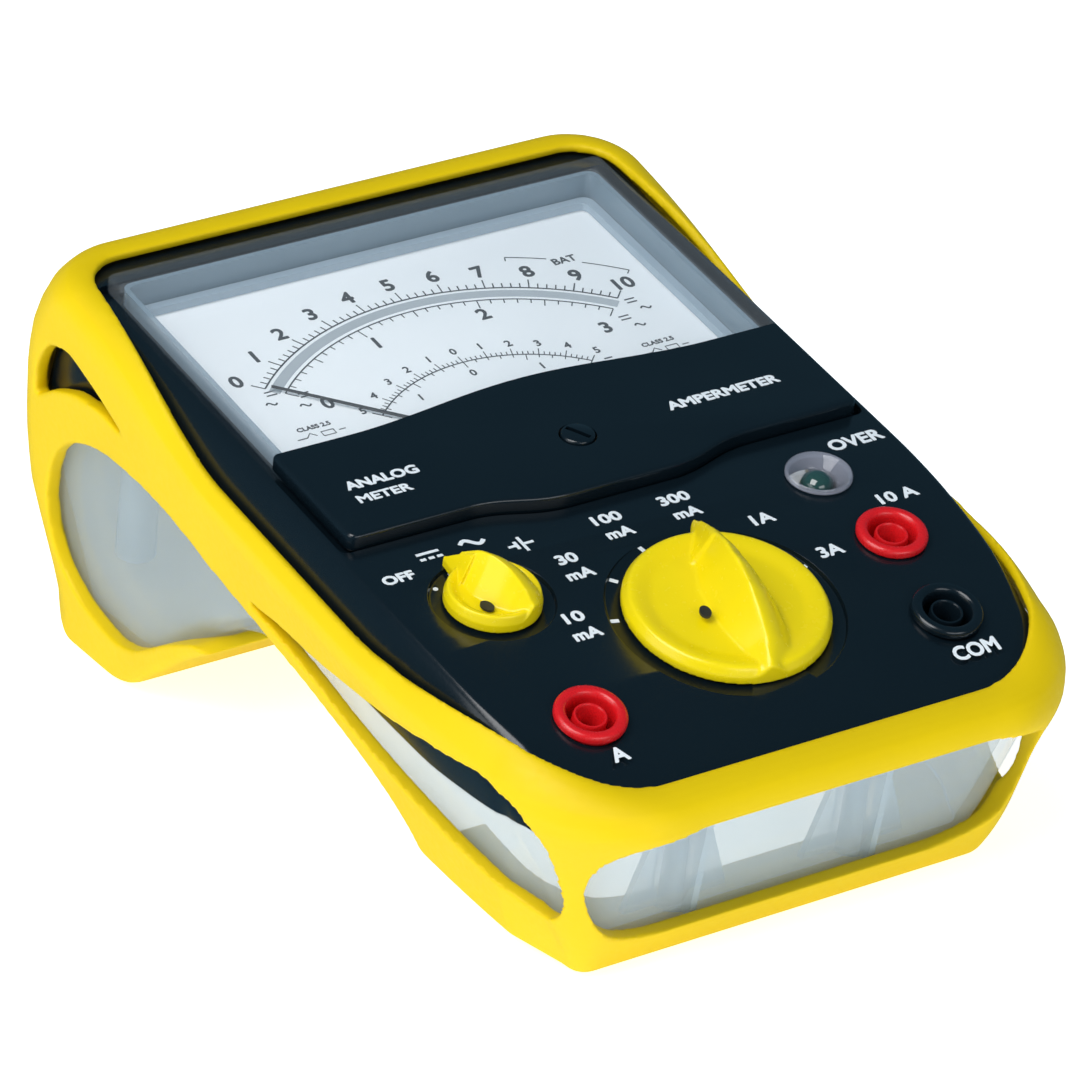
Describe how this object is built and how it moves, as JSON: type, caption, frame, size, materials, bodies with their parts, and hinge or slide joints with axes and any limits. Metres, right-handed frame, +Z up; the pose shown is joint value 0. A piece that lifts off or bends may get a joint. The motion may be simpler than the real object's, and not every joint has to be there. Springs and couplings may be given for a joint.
{
  "type": "analog multimeter",
  "caption": "Handheld analog multimeter: wide moving-needle dial behind a clear window, two turning selector knobs, safety test sockets and an overload lamp, in a soft protective sheath.",
  "frame": {"origin": "middle of the bounding box, on the surface the instrument rests on", "axes": "+Z up, +Y from the sockets to the far end of the meter window, +X to the right for someone reading the dial"},
  "size_m": [0.1102, 0.1704, 0.0718],
  "materials": {
    "yellow_elastomer": "satin",
    "yellow_plastic": "semi-gloss",
    "black_gloss": "gloss",
    "black_matt": "matt",
    "clear_polycarbonate": "clear gloss",
    "dial_white": "matt white paint",
    "red_plastic": "semi-gloss",
    "plated_steel": "plated",
    "brass": "bright",
    "enamelled_copper": "enamelled wire",
    "aluminium": "satin",
    "board_green": "solder mask",
    "grey_plastic": "matt",
    "ceramic": "matt",
    "lamp_clear": "clear gloss"
  },
  "bodies": {
    "instrument": {"protective_sheath": "yellow_elastomer", "upper_case": "black_gloss", "lower_case": "clear_polycarbonate", "case_screw_near_left": "plated_steel", "case_screw_near_right": "plated_steel", "case_screw_far_left": "plated_steel", "case_screw_far_right": "plated_steel", "meter_window": "clear_polycarbonate", "window_mask": "black_gloss", "dial_plate": "dial_white", "dial_screw_left": "plated_steel", "dial_screw_right": "plated_steel", "movement_frame": "aluminium", "magnet_ring": "plated_steel", "iron_core": "plated_steel", "front_bridge": "brass", "front_jewel_screw": "brass", "rear_jewel_screw": "brass", "meter_housing": "grey_plastic", "amp_socket": "red_plastic", "ten_amp_socket": "red_plastic", "common_socket": "black_matt", "amp_contact": "brass", "ten_amp_contact": "brass", "common_contact": "brass", "lamp_lens": "clear_polycarbonate", "overload_lamp": "lamp_clear", "circuit_board": "board_green", "low_range_fuse": "ceramic", "high_range_fuse": "ceramic", "low_range_fuse_clip_left": "brass", "low_range_fuse_clip_right": "brass", "high_range_fuse_clip_left": "brass", "high_range_fuse_clip_right": "brass", "current_shunt": "enamelled_copper", "amplifier_chip": "black_matt", "calibration_trimmer": "brass", "battery": "grey_plastic", "battery_tray": "black_matt", "battery_snap": "black_matt"},
    "range_selector": {"range_knob": "yellow_plastic", "range_switch_rotor": "grey_plastic"},
    "function_selector": {"function_knob": "yellow_plastic", "function_switch_rotor": "grey_plastic"},
    "pointer": {"needle": "black_matt", "pivot_staff": "plated_steel", "moving_coil": "enamelled_copper"},
    "zero_screw": {"zero_adjust_screw": "black_gloss"},
    "zero_lever": {"zero_adjust_lever": "brass"}
  },
  "joints": [
    {"name": "range_turn", "type": "hinge", "parent": "instrument", "child": "range_selector", "pos_m": [0, -0.05018, 0.04587], "axis": [0, -0.2949, 0.9555], "range_deg": [-60, 90]},
    {"name": "function_turn", "type": "hinge", "parent": "instrument", "child": "function_selector", "pos_m": [-0.0328, -0.03517, 0.04995], "axis": [0, -0.2296, 0.9733], "range_deg": [-60, 30]},
    {"name": "needle_swing", "type": "hinge", "parent": "instrument", "child": "pointer", "pos_m": [0, -0.00081, 0.05659], "axis": [0, -0.1822, 0.9833], "range_deg": [-88, 2], "stiffness_Nm_per_rad": 0.0002},
    {"name": "zero_screw_turn", "type": "hinge", "parent": "instrument", "child": "zero_screw", "pos_m": [0, -0.00661, 0.05551], "axis": [0, -0.1822, 0.9833], "range_deg": [-45, 45]},
    {"name": "zero_lever_turn", "type": "hinge", "parent": "instrument", "child": "zero_lever", "pos_m": [0, -0.00081, 0.05659], "axis": [0, -0.1822, 0.9833], "range_deg": [-7, 7]}
  ],
  "couplings": [
    {"joint": "zero_lever_turn", "follows": "zero_screw_turn", "ratio": 0.145}
  ]
}
